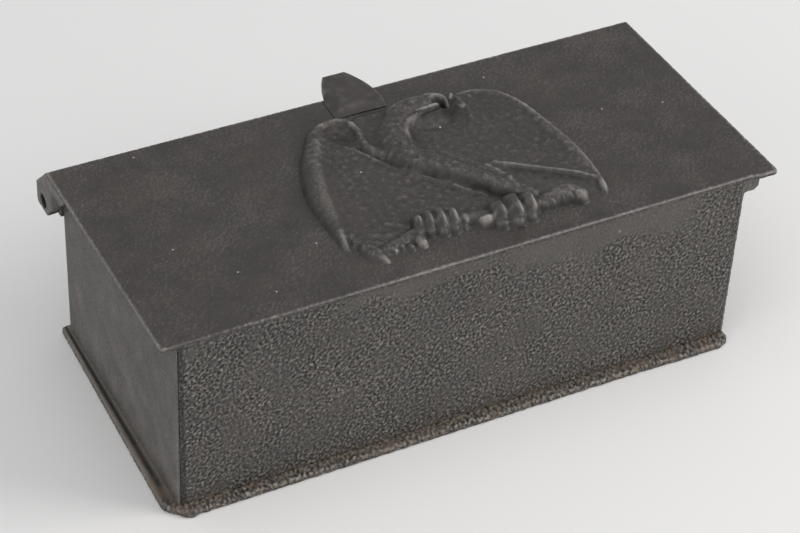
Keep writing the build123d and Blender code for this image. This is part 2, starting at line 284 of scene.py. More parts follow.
def cast_plate(
    name, plain, turn, material, body, relief, outline, step, radius, edge,
    depth=None, clip=0.0, lap=None, bite=0.07, rust=None,
):
    """A cast plate. Its outer face is a fine grid that relief and outline move, in mm.

    turn holds the directions of its length, its width and its outer face. step is the grid's
    pitch, radius that of its corners, and clip what is cut off the first one. edge is how far its
    edge is rounded, and bite how rough it is. depth is its thickness where that isn't the plain
    node's, and lap the width and depth of the lip along its two ends. rust gives how much it has
    rusted at any x, y and z.
    """
    low, high = np.array(box_of(plain))
    turn = np.array(turn)
    origin = np.where(turn[0] + turn[1] - turn[2] > 0, low, high)
    *sides, thickness = np.abs(turn) @ (high - low)
    thickness = depth or thickness
    place = np.array(np.meshgrid(*(stations(side, edge, step) for side in sides), indexing="ij"))
    whole = np.reshape(sides, (2, 1, 1))
    clipped = (place < whole / 2).all(0) & (clip > 0)
    corner = np.where(clipped, clip, radius)
    inside = np.minimum(place, whole - place)
    short = np.clip(corner - inside, 0, None)
    both = (short > 0).all(0)
    spread = np.where(clipped, short.sum(0), np.hypot(*short))
    pulled = corner - short * np.where(both, short.max(0) / np.where(both, spread, 1), 1)
    place = np.where(inside < corner, np.where(place < whole / 2, pulled, whole - pulled), place)
    inset = inside.min(0)
    level = -edge + np.sqrt(edge ** 2 - (edge - np.minimum(inset, edge)) ** 2)

    # The way out of the plate from each point, towards its nearest edge.
    turned = np.where(clipped, -1.0, place - np.clip(place, corner, whole - corner))
    far = np.hypot(*turned)
    nearest = np.array([inside[0] <= inside[1], inside[1] < inside[0]])
    out = np.where(both, turned / np.where(far > 0, far, 1), nearest * np.sign(place - whole / 2))

    rise, wear_and_painted_light = relief(*place, inset)
    place = place + out * outline(*place, inset)
    index = np.arange(wear_and_painted_light.size).reshape(wear_and_painted_light.shape)
    points = [np.stack([*place, level + rise], -1).reshape(-1, 3)]
    wears = [wear_and_painted_light.ravel()]
    faces = np.stack(corners(index), -1).reshape(-1, 4).tolist()

    # Rings of points go down the plate's edge, and one face closes its back.
    rim = np.concatenate([index[:, 0], index[-1, 1:], index[-2::-1, -1], index[0, -2:0:-1]])
    rim_points = points[0][rim]
    rim_out = out.reshape(2, -1)[:, rim].T
    along = np.concatenate([[0], np.cumsum(np.hypot(*np.diff(rim_points[:, :2], axis=0).T))])
    deep = lap[1] if lap else thickness
    levels = np.linspace(-edge, -deep + edge, max(2, round((deep - 2 * edge) / 0.5)) + 1)[1:]
    rough_edge = cast_skin((along[-1] + 10, thickness + 10), 1.6, 0.8, seed=len(rim))
    rings = [(0.0, level) for level in levels] + [(edge * 0.3, -deep + edge * 0.3), (edge, -deep)]
    for ring_inset, level in rings:
        ring = rim_points.copy()
        fade = smooth(0, 0.8, -edge - level) * smooth(0, 0.8, level + deep)
        crumbs = rough_edge(along, np.full(len(rim), -level))
        ring[:, :2] += rim_out * (bite * fade * crumbs - ring_inset)[:, None]
        ring[:, 2] = level
        points.append(ring)
        wears.append(0.5 + min(2.2 * bite, 0.32) * crumbs * (level > -deep))
    for level in (-deep, -thickness) if lap else ():
        ring = points[-1].copy()
        ring[:, 0] = np.clip(ring[:, 0], lap[0], sides[0] - lap[0])
        ring[:, 2] = level
        points.append(ring)
        wears.append(np.full(len(rim), 0.5))
    for number in range(1, len(points)):
        lower = np.arange(len(rim)) + index.size + (number - 1) * len(rim)
        faces += np.stack([rim, lower, np.roll(lower, -1), np.roll(rim, -1)], 1).tolist()
        rim = lower
    faces.append(rim[::-1].tolist())

    mesh = new_mesh(name, np.concatenate(points) @ turn + origin, faces)
    mark(mesh, "wear_and_painted_light", np.concatenate(wears))
    mesh.polygons.foreach_set("use_smooth", np.arange(len(faces)) < len(faces) - 1)
    if lap:
        put_back(welded(mesh), mesh)
    mesh.validate()
    if rust:
        mark(mesh, "rust", rust(*points_of(mesh).T))
    show(name, mesh, material, body, plain)


def iron_finish(name, tones, rust, shine, grain, patch, mottle=0.14, speck=0.0):
    """Old cast iron: a dark skin, lighter where the wear map is high, and rust in patches. The map holds
    wear, and on some pieces painted highlights and painted shade as well.

    tones are the skin in a hollow, on the flat and on a worn edge. rust is how much of it shows,
    grain the depth of its fine pitting in mm, patch the size of its clouding in mm and mottle its
    strength. speck is the share of places on a level face where a chip shines out.
    """
    material, tree, shader = new_material(name)

    def laid_over(colour, share, tone):
        return node(tree, "ShaderNodeMix", {0: share, 6: colour, 7: (*tone, 1)}, out=2, data_type="RGBA")

    wear_and_painted_light = node(tree, "ShaderNodeAttribute", out="Fac", attribute_name="wear_and_painted_light")
    skin = ramp(tree, wear_and_painted_light, *zip((0.15, 0.5, 0.95), tones))
    pits = clouds(tree, 1.1, 3.0, 0.6)
    pitting = 0.75 * grain
    level = maths(
        tree, "MULTIPLY", mapped(tree, clouds(tree, patch, 5.0, 0.62), 0.3, 0.7, 1 - mottle, 1 + mottle),
        mapped(tree, pits, 0.3, 0.7, 1 - pitting, 1 + pitting),
    )
    colour = node(tree, "ShaderNodeVectorMath", {0: skin, "Scale": level}, operation="SCALE")

    rust_map = maths(
        tree, "MAXIMUM", mapped(tree, clouds(tree, 23, 6.0, 0.7), 0.5, 0.8, 0.0, rust),
        node(tree, "ShaderNodeAttribute", out="Fac", attribute_name="rust"),
    )
    colour = laid_over(colour, rust_map, rust_brown)
    if speck:
        dots = node(tree, "ShaderNodeTexVoronoi", {
            "Vector": node(tree, "ShaderNodeTexCoord", out="Object"), "Scale": 1 / (chip_spacing * mm)
        }, voronoi_dimensions="2D").node.outputs
        chosen = maths(
            tree, "GREATER_THAN", node(tree, "ShaderNodeSeparateColor", {0: dots["Color"]}), 1 - speck
        )
        chip = maths(tree, "MULTIPLY", mapped(tree, dots["Distance"], 0.03, 0.06, 1.0, 0.0), chosen)
        colour = laid_over(colour, chip, bare_iron)
    tree.links.new(colour, shader["Base Color"])
    tree.links.new(mapped(tree, pits, 0.3, 0.7, shine - 0.06, shine + 0.08), shader["Roughness"])
    bump = node(tree, "ShaderNodeBump", {"Height": pits, "Distance": grain * mm, "Strength": 1.0})
    tree.links.new(bump, shader["Normal"])
    return material


rust_brown, bare_iron = (0.180, 0.138, 0.102), (0.42, 0.39, 0.36)
chip_spacing = 9.0
base_iron = iron_finish(
    "base_iron", ((0.016, 0.014, 0.012), (0.076, 0.068, 0.062), (0.29, 0.26, 0.225)),
    rust=0.30, shine=0.60, grain=0.30, patch=14,
)
base_low, base_high = box_of("base_plate")
base_size = (base_high.x - base_low.x, base_high.y - base_low.y)
base_swell = cast_skin(base_size, 9.0, 0.8, seed=11)
base_crumb = cast_skin(base_size, 2.0, 0.7, seed=12)
base_chips = cast_skin(base_size, 5.0, 0.9, seed=13)
base_patches = cast_skin(base_size, 16.0, 0.9, seed=14)


def base_relief(u, v, inset):
    """Its sandy upper face, which only shows as a rim around the walls. The left rim is smooth, with painted
    highlights and painted shade along it.
    """
    crumb = base_crumb(u, v)
    rough = 0.06 + 0.94 * smooth(14, 4, v)
    rise = rough * (0.06 * base_swell(u, v) + 0.20 * crumb) * smooth(0, 1.0, inset) - 0.12
    # A groove is scored along the left rim. Painted highlights run on either side of it and painted shade
    # lies in it.
    scored = (1 - rough) * smooth(5, 4.5, u)
    cut = np.exp(-(((u - 2.3) / 0.5) ** 2))
    painted_light_lines = 0.22 * smooth(1.9, 1.2, u) - 0.40 * cut + 0.22 * smooth(2.8, 3.4, u)
    wear_and_painted_light = 0.5 + rough * (0.30 * crumb + 0.12 * smooth(1.0, 0.2, inset)) + scored * painted_light_lines
    return rise - 0.35 * scored * cut, wear_and_painted_light


def base_outline(u, v, inset):
    """Chips along the plate's front edge. Its left end runs a little out of square."""
    chip = (0.12 + 0.88 * smooth(16, 6, v)) * base_chips(u, v)
    askew = (1.6 - 2.8 * v / base_size[1]) * smooth(12, 6, u)
    from_right = base_size[0] - u
    bow = (1.2 - 0.7 * from_right / base_size[0] + 0.7 * smooth(50, 14, from_right)) * smooth(8, 4, v)
    bow = bow * smooth(4, 14, u) * smooth(0, 6, from_right)
    return (askew + bow + 0.30 - 0.14 * np.clip(chip, -1.2, 2.2)) * (1 - smooth(0, 3.8, inset))


def base_rust(x, y, z):
    """Along the foot of the front wall, and at the corner that is cut off."""
    u, v = x - base_low.x, y - base_low.y
    patch = base_patches(u, v)
    front = smooth(7, 4, v) * smooth(-0.6, 0.8, patch + 1.3 * smooth(0.8, 2.6, v))
    corner = smooth(30, 18, v) * smooth(9, 5, u) * smooth(-1.2, 0.2, patch)
    spotty = 0.65 + 0.35 * base_crumb(u, v)
    return 0.62 * np.maximum(front * spotty, corner) * smooth(-2.6, -0.6, z - base_high.z)


cast_plate(
    "base_plate_cast", "base_plate", ((1, 0, 0), (0, 1, 0), (0, 0, 1)), base_iron, "box",
    base_relief, base_outline, step=0.62, radius=2.5, edge=1.0, clip=8.0, bite=0.16, rust=base_rust,
)


# -------- front panel
# The front wall is a plate cast against coarse sand. Its whole outer face
# is pebbled like orange peel, least along the top of its middle.
def front_relief(u, v, inset):
    """Orange peel all over, worn away under the lid along the middle, with a few bright knocks."""
    coarse, fine = front_peel(u, v), front_fine(u, v)
    deeper = smooth(110, 190, u)
    worn = smooth(-9 - 9 * deeper, -3 - 4 * deeper, v - front_size[1] - 2.5 * front_patches(u, v))
    worn = 0.8 * worn * smooth(62, 84, u) * smooth(244, 226, u)
    peel = (0.82 * coarse + 0.52 * fine) * (1 + 0.18 * front_patches(u, v)) * (1 - worn)
    seam = smooth(3.4, 1.2, u) * smooth(-1.6, 0.8, fine)
    rise = 0.20 * peel * smooth(0, 0.6, inset) + 0.08 * front_swell(u, v) * smooth(0, 8, inset)
    knocks = sum(np.exp(-(((u - at_u) ** 2 + (v - at_v) ** 2) / 0.30)) for at_u, at_v in front_knocks)
    return rise, 0.47 + 0.23 * peel + 0.05 * worn - 0.36 * seam + 0.55 * knocks


def front_outline(u, v, inset):
    """The plate stops a little short of the end plate at its left, which leaves a dark seam."""
    gap = np.where(u < 4, -0.10 - 0.08 * front_fine(np.zeros_like(u), v), -0.05)
    return gap * (1 - smooth(0, 1.2, inset))


def front_rust(x, y, z):
    """A little rust creeps up the wall's face from its foot."""
    ragged = 0.9 * base_patches(x - base_low.x, 0 * x)
    return 0.25 * smooth(3.4, 0.4, z - front_low.z - ragged) * (y < front_low.y + 1)


wall_iron = iron_finish(
    "wall_iron", ((0.011, 0.010, 0.009), (0.074, 0.067, 0.061), (0.27, 0.25, 0.23)),
    rust=0.12, shine=0.50, grain=0.26, patch=30,
)
front_low, front_high = box_of("front_panel")
front_size = (front_high.x - front_low.x, front_high.z - front_low.z)
front_peel = cast_skin(front_size, 2.15, 0.7, seed=21)
front_fine = cast_skin(front_size, 1.3, 0.5, seed=24)
front_knocks = np.random.default_rng(25).random((22, 2)) * front_size
front_patches = cast_skin(front_size, 30.0, 0.8, seed=22)
front_swell = cast_skin(front_size, 22.0, 0.8, seed=23)
cast_plate(
    "front_panel_cast", "front_panel", ((1, 0, 0), (0, 0, 1), (0, -1, 0)), wall_iron, "box",
    front_relief, front_outline, step=0.52, radius=0.5, edge=0.3, rust=front_rust,
)


# -------- end and rear panels
# The other three walls are plates like the front one, but less pebbled. The
# two end plates lap over the ends of the front and rear plates, so a fine
# seam runs down beside each corner, and the right one has a ledge at its top.
def end_relief(u, v, inset):
    """A sandy face with faint pebbles. Painted light makes it lighter towards its foot and a little darker
    towards its top, evening out how the light falls down the wall.
    """
    peel = end_peel(u, v)
    sand = end_sand(u / 2, v)
    rise = (0.004 * peel + 0.10 * sand + 0.03 * end_patches(u, v)) * smooth(0, 0.8, inset)
    # Painted light: lighter at the foot, darker at the top.
    foot = 0.07 * smooth(45, 5, v) - 0.05 * smooth(35, 85, v)
    skin = 0.07 * sand + 0.012 * peel + 0.05 * end_patches(u, v)
    return rise, 0.5 + foot + skin + 0.12 * smooth(0.7, 0.2, inset)


def straight(u, v, inset):
    """An outline with no chips worth showing, only the waver of a filed edge."""
    return -0.05 * (1 + np.sin(u / 5.3) * np.sin(v / 4.1)) * (1 - smooth(0, 2, inset))


end_iron = iron_finish(
    "end_iron", ((0.045, 0.041, 0.038), (0.093, 0.086, 0.080), (0.19, 0.176, 0.166)),
    rust=0.12, shine=0.56, grain=0.02, patch=26, mottle=0.10,
)
end_peel = cast_skin(front_size, 3.0, 0.5, seed=31)
end_patches = cast_skin(front_size, 18.0, 0.9, seed=32)
end_sand = cast_skin(front_size, 1.8, 0.6, seed=33)
wall_thick = front_high.y - front_low.y
end_lap = (wall_thick, front_low.x - box_of("left_end_panel")[0].x)
cast_plate(
    "left_end_cast", "left_end_panel", ((0, -1, 0), (0, 0, 1), (-1, 0, 0)), end_iron, "box",
    end_relief, straight, step=0.6, radius=0.5, edge=0.35, depth=wall_thick, lap=end_lap,
)
cast_plate(
    "rear_panel_cast", "rear_panel", ((-1, 0, 0), (0, 0, 1), (0, 1, 0)), end_iron, "box",
    end_relief, straight, step=0.7, radius=0.5, edge=0.35,
)


def grain_block(spacing, seed, count=96):
    """Soft bumps about spacing apart in a block of iron, which repeats in every direction."""
    pitch = spacing / 5
    block = bumps_on((count, count, count), pitch, spacing, 0.6, seed)
    return lambda points: read_off(block, points.T / pitch)


def made_plain(holder, name):
    """The mesh that an object's modifiers make of it. The object itself goes."""
    mesh = bpy.data.meshes.new_from_object(holder.evaluated_get(bpy.context.evaluated_depsgraph_get()))
    bpy.data.objects.remove(holder)
    mesh.name = name
    return mesh


def as_cast(name, plain, material, body, voxel, rubs, grains, plugs=(), press=None, painted_shade_at=None):
    """A piece in the shape of its plain node, with the soft edges and uneven skin of a casting.

    voxel is its detail in mm, rubs how often it is smoothed, and grains the blocks and depths of
    its bumps in mm. plugs close the tops of holes, each given by its middle, its radius and its
    depth. press moves the points at the end, and the last argument darkens the skin at them
    with painted shade. Skin that faces down gets painted shade too.
    """
    shell = welded(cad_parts[plain].data)
    for middle, radius, depth in plugs:
        bmesh.ops.create_cone(
            shell, cap_ends=True, segments=24, radius1=radius * mm, radius2=radius * mm, depth=depth * mm,
            matrix=Matrix.Translation(Vector(middle) * mm),
        )
    blank = put("blank", bpy.data.meshes.new("blank"))
    put_back(shell, blank.data)
    cut = blank.modifiers.new("cut", "REMESH")
    cut.mode = "VOXEL"
    cut.voxel_size = voxel * mm
    rub = blank.modifiers.new("rub", "SMOOTH")
    rub.iterations = rubs
    mesh = made_plain(blank, name)

    points = points_of(mesh)
    outward = np.empty((len(points), 3), np.float32)
    edges = np.empty((len(mesh.edges), 2), np.int32)
    mesh.vertex_normals.foreach_get("vector", outward.ravel())
    mesh.edges.foreach_get("vertices", edges.ravel())
    if press:
        points = press(points)
    near, far = np.concatenate([edges, edges[:, ::-1]]).T
    neighbours = np.bincount(near, minlength=len(points))
    settled = points
    for _ in range(round(1.2 / voxel) + 1):
        sums = [np.bincount(near, settled[far, axis], minlength=len(points)) for axis in range(3)]
        settled = np.stack(sums, 1) / neighbours[:, None]
    proud = ((points - settled) * outward).sum(1)
    rise = sum(depth * grain(points) for grain, depth in grains)
    # Painted shade: skin that faces down is darkened, and so is skin where the last argument puts it.
    painted_shade = 0.30 * np.clip(-outward[:, 2], 0, 1)
    if painted_shade_at:
        painted_shade += painted_shade_at(points)
    mesh.vertices.foreach_set("co", ((points + outward * rise[:, None]) * mm).astype(np.float32).ravel())
    mark(mesh, "wear_and_painted_light", 0.5 + 1.1 * proud + 1.4 * rise - painted_shade)
    mesh.polygons.foreach_set("use_smooth", np.ones(len(mesh.polygons), bool))
    mesh.update()
    show(name, mesh, material, body, plain)


sand_grain = grain_block(1.9, seed=61)
soft_grain = grain_block(6.0, seed=62)
as_cast(
    "right_end_cast", "right_end_panel", end_iron, "box",
    voxel=0.5, rubs=1, grains=((sand_grain, 0.07), (soft_grain, 0.05)),
)


# -------- corner irons
# Four lengths of angle hold the plates together from inside. They are
# rough bar with a foot at the bottom, dull and never handled.
inner_iron = iron_finish(
    "inner_iron", ((0.030, 0.027, 0.025), (0.066, 0.060, 0.056), (0.16, 0.145, 0.135)),
    rust=0.55, shine=0.66, grain=0.14, patch=18,
)
for place in ("front_left", "rear_left", "front_right", "rear_right"):
    as_cast(
        f"corner_iron_{place}_worn", f"corner_iron_{place}", inner_iron, "box",
        voxel=0.6, rubs=2, grains=((sand_grain, 0.03), (soft_grain, 0.06)),
    )


# -------- screws
# Slotted iron screws hold the corner irons to the walls from inside, and
# larger countersunk ones come up through the base plate into their feet.
def bits(plain):
    """The lowest corner, the middle and the highest corner, in mm, of each solid in a plain node."""
    shell = welded(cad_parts[plain].data)
    left, found = set(shell.verts), []
    while left:
        front = [left.pop()]
        solid = list(front)
        while front:
            here = front.pop()
            joined_on = left.intersection(edge.other_vert(here) for edge in here.link_edges)
            left -= joined_on
            front += joined_on
            solid += joined_on
        places = np.array([vert.co for vert in solid]) / mm
        low, high = places.min(0), places.max(0)
        found.append((low, (low + high) / 2, high))
    shell.free()
    return sorted(found, key=lambda bit: tuple(bit[0].round(2)))


def start_tree(name, *sizes):
    """An empty Geometry Nodes tree with named inputs, and its inputs and its output."""
    tree = bpy.data.node_groups.new(name, "GeometryNodeTree")
    tree.interface.new_socket("Geometry", in_out="INPUT", socket_type="NodeSocketGeometry")
    for label in (*sizes, "Shank Radius", "Shank Length"):
        tree.interface.new_socket(label, in_out="INPUT", socket_type="NodeSocketFloat")
    tree.interface.new_socket("Finish", in_out="INPUT", socket_type="NodeSocketMaterial")
    tree.interface.new_socket("Geometry", in_out="OUTPUT", socket_type="NodeSocketGeometry")
    given, result = tree.nodes.new("NodeGroupInput"), tree.nodes.new("NodeGroupOutput")
    return tree, given.outputs, result.inputs["Geometry"]


def joined(tree, *parts):
    """Several meshes of a tree as one."""
    join = tree.nodes.new("GeometryNodeJoinGeometry")
    for part in parts:
        tree.links.new(part, join.inputs[0])
    return join.outputs[0]


def moved(tree, part, along):
    """A mesh of a tree moved along its own axis by a size of the tree."""
    place = node(tree, "ShaderNodeCombineXYZ", {"Z": along})
    return node(tree, "GeometryNodeTransform", {"Geometry": part, "Translation": place})


def set_out(tree, given, result, head, twist_seed):
    """Ends a tree: a fastener stands at every point, along its way, and all become plain mesh."""
    shank = node(tree, "GeometryNodeMeshCylinder", {
        "Vertices": 16, "Radius": given["Shank Radius"], "Depth": given["Shank Length"]
    })
    one = joined(tree, head, moved(tree, shank, maths(tree, "MULTIPLY", given["Shank Length"], -0.5)))
    way = node(tree, "GeometryNodeInputNamedAttribute", {"Name": "way"}, data_type="FLOAT_VECTOR")
    turned = node(tree, "FunctionNodeAlignRotationToVector", {"Vector": way}, axis="Z")
    turns = {2: 0.0, 3: math.pi, "Seed": twist_seed}
    twist = node(tree, "FunctionNodeRandomValue", turns, out=1, data_type="FLOAT")
    spin = node(tree, "FunctionNodeEulerToRotation", {0: node(tree, "ShaderNodeCombineXYZ", {"Z": twist})})
    spun = node(tree, "FunctionNodeRotateRotation", {0: turned, 1: spin}, rotation_space="LOCAL")
    placed = node(tree, "GeometryNodeInstanceOnPoints", {
        "Points": given["Geometry"], "Instance": one, "Rotation": spun
    })
    solid = node(tree, "GeometryNodeRealizeInstances", {"Geometry": placed})
    rubbed = node(tree, "GeometryNodeStoreNamedAttribute", {
        "Geometry": solid, "Name": "wear_and_painted_light", "Value": 0.62
    }, data_type="FLOAT", domain="POINT")
    finished = node(tree, "GeometryNodeSetMaterial", {"Geometry": rubbed, "Material": given["Finish"]})
    tree.links.new(finished, result)
    return tree


def fitted(name, tree, spots, sizes, material, body, plain):
    """One plain mesh with a fastener at each spot, which is a place in mm and the way its head faces."""
    mesh = new_mesh(name, [place for place, _ in spots])
    ways = mesh.attributes.new("way", "FLOAT_VECTOR", "POINT").data
    ways.foreach_set("vector", np.array([way for _, way in spots], np.float32).ravel())
    holder = put("holder", mesh)
    maker = holder.modifiers.new("fasteners", "NODES")
    maker.node_group = tree
    inputs = {
        item.name: item.identifier for item in tree.interface.items_tree
        if item.item_type == "SOCKET" and item.in_out == "INPUT"
    }
    for label, size in sizes.items():
        maker[inputs[label]] = size * mm
    maker[inputs["Finish"]] = material
    show(name, made_plain(holder, name), material, body, plain)


tree, given, result = start_tree("slotted screw", "Head Radius", "Crown Radius", "Head Height", "Slot Width")
head = node(tree, "GeometryNodeMeshCone", {
    "Vertices": 28, "Radius Top": given["Crown Radius"], "Radius Bottom": given["Head Radius"],
    "Depth": given["Head Height"],
})
slot_size = node(tree, "ShaderNodeCombineXYZ", {
    "X": maths(tree, "MULTIPLY", given["Head Radius"], 2.4), "Y": given["Slot Width"],
    "Z": given["Head Height"],
})
slot_block = node(tree, "GeometryNodeMeshCube", {"Size": slot_size})
slot_block = moved(tree, slot_block, maths(tree, "MULTIPLY", given["Head Height"], 1.05))
head = node(tree, "GeometryNodeMeshBoolean", {"Mesh 1": head, "Mesh 2": slot_block}, operation="DIFFERENCE")
screw_tree = set_out(tree, given, result, head, twist_seed=5)

screw_steel = iron_finish(
    "screw_steel", ((0.06, 0.055, 0.05), (0.15, 0.138, 0.127), (0.30, 0.28, 0.26)),
    rust=0.5, shine=0.48, grain=0.05, patch=9,
)
corner_screw = {
    "Head Radius": 3.5, "Crown Radius": 2.9, "Head Height": 2.0, "Slot Width": 0.9, "Shank Radius": 2.0,
    "Shank Length": 5.5,
}
corner_spots = []
for low, middle, high in bits("corner_screws"):
    axis = 0 if abs(high[1] - low[1] - 2 * corner_screw["Head Radius"]) < 0.05 else 1
    way = np.zeros(3)
    way[axis] = -np.sign(middle[axis])
    middle[axis] = (high if way[axis] > 0 else low)[axis] - way[axis] * corner_screw["Head Height"]
    corner_spots.append((middle, way))
fitted(
    "corner_screws_slotted", screw_tree, corner_spots, corner_screw, screw_steel,
    "box", "corner_screws",
)
base_screw = {
    "Head Radius": 2.5, "Crown Radius": 4.6, "Head Height": 2.1, "Slot Width": 1.2, "Shank Radius": 2.5,
    "Shank Length": 5.1,
}
base_spots = [
    ((*middle[:2], low[2] + base_screw["Head Height"]), (0, 0, -1)) for low, middle, _ in bits("base_screws")
]
fitted("base_screws_slotted", screw_tree, base_spots, base_screw, screw_steel, "box", "base_screws")


# -------- lid plate
# The lid is a thin plate with a worn, nicked edge. Hands have rubbed its
# dark skin smooth, with a few light nicks and faint brown patches.
def lid_relief(u, v, inset):
    """The lid's nearly flat top, worn low along its edge. Its edge is lighter with wear and with a painted
    highlight of the lit arris, brighter towards the right and unbroken at its left.
    """
    skin = lid_skin(u, v)
    nick = smooth(-0.4, 1.6, lid_nicks(u, v)) * (0.7 + 0.3 * np.clip(lid_wear(u, v), -1, 1))
    nick = np.where(u < 3, np.maximum(nick, 0.40), nick)
    rise = (0.07 * lid_swell(u, v) + 0.018 * skin) * smooth(0, 6, inset) - 0.10
    # Wear and a painted highlight along the arris.
    edge = (0.10 + 0.20 * smooth(40, 110, u) + 0.50 * nick) * smooth(0.8, 0.25, inset)
    return rise, 0.5 + 0.05 * skin + 0.02 * lid_wear(u, v) + edge


def lid_outline(u, v, inset):
    """Nicks along the lid's edge, and a right end that runs a little out of square."""
    askew = 1.2 * (1 - v / lid_size[1]) * smooth(lid_size[0] - 12, lid_size[0] - 6, u)
    nick = 0.03 + 0.07 * np.clip(lid_nicks(u, v), -0.4, 2.4)
    return askew * (1 - smooth(0, 5, inset)) - nick * smooth(1.8, 0, inset)


lid_iron = iron_finish(
    "lid_iron", ((0.025, 0.022, 0.020), (0.051, 0.045, 0.042), (0.23, 0.21, 0.20)),
    rust=0.10, shine=0.52, grain=0.12, patch=9, mottle=0.18, speck=0.035,
)
lid_low, lid_high = box_of("lid_plate")
lid_size = (lid_high.x - lid_low.x, lid_high.y - lid_low.y)
lid_swell = cast_skin(lid_size, 60.0, 0.9, seed=41)
lid_skin = cast_skin(lid_size, 1.8, 0.8, seed=42)
lid_nicks = cast_skin(lid_size, 3.2, 0.9, seed=43)
lid_wear = cast_skin(lid_size, 40.0, 0.9, seed=44)
cast_plate(
    "lid_plate_cast", "lid_plate", ((1, 0, 0), (0, 1, 0), (0, 0, 1)), lid_iron, "lid",
    lid_relief, lid_outline, step=0.9, radius=0.8, edge=0.45,
)


# -------- eagle
# The eagle was carved in the pattern and cast thin: a bird with its head
# turned back and its wings spread, holding a log over a row of leaves. It
# is laid up here stroke by stroke, as a carver builds it, in mm over the lid.
relief_low, relief_high = box_of("eagle_relief")
carve_low, carve_high = relief_low - Vector((2, 1.5, 0)), relief_high + Vector((2, 4, 0))
carve_step = 0.36
carve_x = np.arange(carve_low.x, carve_high.x + carve_step / 2, carve_step)
carve_y = np.arange(carve_low.y, carve_high.y + carve_step / 2, carve_step)
grid_x, grid_y = np.meshgrid(carve_x, carve_y, indexing="ij")
carved = np.zeros_like(grid_x)


def flowing(points, closed=False, pace=0.8):
    """The points of a smooth line through the given ones, with whatever else each of them holds."""
    rows = np.array(points, float)
    if closed:
        rows = np.concatenate([rows[-1:], rows, rows[:2]])
    else:
        rows = np.concatenate([2 * rows[:1] - rows[1:2], rows, 2 * rows[-1:] - rows[-2:-1]])
    line = []
    for before, start, end, after in zip(rows, rows[1:], rows[2:], rows[3:]):
        count = max(2, math.ceil(np.hypot(*(end - start)[:2]) / pace))
        for t in np.arange(count) / count:
            line.append(0.5 * (
                2 * start + (end - before) * t + (2 * before - 5 * start + 4 * end - after) * t ** 2
                + (3 * start - before - 3 * end + after) * t ** 3
            ))
    if not closed:
        line.append(rows[-2])
    return np.array(line)


def to_line(line, reach):
    """The part of the grid near a line: its place, distance and side, and what the line holds there."""
    keep_x = (carve_x > line[:, 0].min() - reach) & (carve_x < line[:, 0].max() + reach)
    keep_y = (carve_y > line[:, 1].min() - reach) & (carve_y < line[:, 1].max() + reach)
    part = np.ix_(keep_x, keep_y)
    x, y = grid_x[part], grid_y[part]
    best = np.full(x.shape, 1e9)
    side = np.zeros_like(x)
    held = np.zeros(x.shape + (line.shape[1] - 2,))
    for start, end in zip(line, line[1:]):
        way = end[:2] - start[:2]
        span = max(way @ way, 1e-12)
        t = np.clip(((x - start[0]) * way[0] + (y - start[1]) * way[1]) / span, 0, 1)
        off_x, off_y = x - start[0] - t * way[0], y - start[1] - t * way[1]
        far = np.hypot(off_x, off_y)
        near = far < best
        best[near] = far[near]
        side[near] = (way[0] * off_y - way[1] * off_x)[near]
        held[near] = (start[2:] + t[..., None] * (end[2:] - start[2:]))[near]
    return part, best, side, held


def pile(part, height, blend):
    """Lays height on the carving, with a fillet of about blend where it meets what is there."""
    under = carved[part]
    gap = np.clip(blend - np.abs(under - height), 0, None) / max(blend, 1e-6)
    carved[part] = np.maximum(under, height) + gap ** 2 * blend / 4 * (height > 0)


def ridge(points, crown=1.0, blend=0.6, lean=0.0):
    """A rounded ridge along points (x, y, height, half width). lean makes its left flank steeper."""
    line = flowing(points)
    part, far, side, held = to_line(line, line[:, 3].max() * 1.6 + 1)
    width = held[..., 1] * np.where(side > 0, 1 - lean, 1 + lean)
    across = np.clip(far / np.maximum(width, 0.05), 0, 1)
    pile(part, held[..., 0] * (1 - across ** 2) ** crown, blend)


def sheet(points, height, rim=1.5, blend=0.5):
    """A flat of the carving inside a closed outline; height is a function of x and y."""
    line = flowing(points, closed=True)
    loop = np.concatenate([line, line[:1]])
    part, far, _, _ = to_line(loop, 2)
    x, y = grid_x[part], grid_y[part]
    inside = np.zeros(x.shape, bool)
    for (x0, y0), (x1, y1) in zip(loop[:, :2], loop[1:, :2]):
        crosses = (y0 > y) != (y1 > y)
        inside ^= crosses & (x < x0 + (y - y0) * (x1 - x0) / np.where(abs(y1 - y0) > 1e-9, y1 - y0, 1))
    pile(part, height(x, y) * smooth(0, rim, np.where(inside, far, 0)), blend)


def groove(points, depth, width):
    """A cut along points."""
    line = flowing(points)
    part, far, _, _ = to_line(line, width * 3)
    carved[part] -= depth * np.exp(-((far / width) ** 2)) * (carved[part] > depth)


def softened(field, radius):
    """The field with its detail below about radius rubbed away."""
    passed = np.exp(-2 * (math.pi * turns_of(field.shape, carve_step) * radius) ** 2)
    return np.fft.irfftn(np.fft.rfftn(field) * passed, s=field.shape)


def brush(field, points, amount, reach):
    """Adds amount to a field along points, and less and less out to about reach."""
    part, far, _, _ = to_line(flowing(points), reach * 2.4)
    field[part] += amount * np.exp(-((far / reach) ** 2))


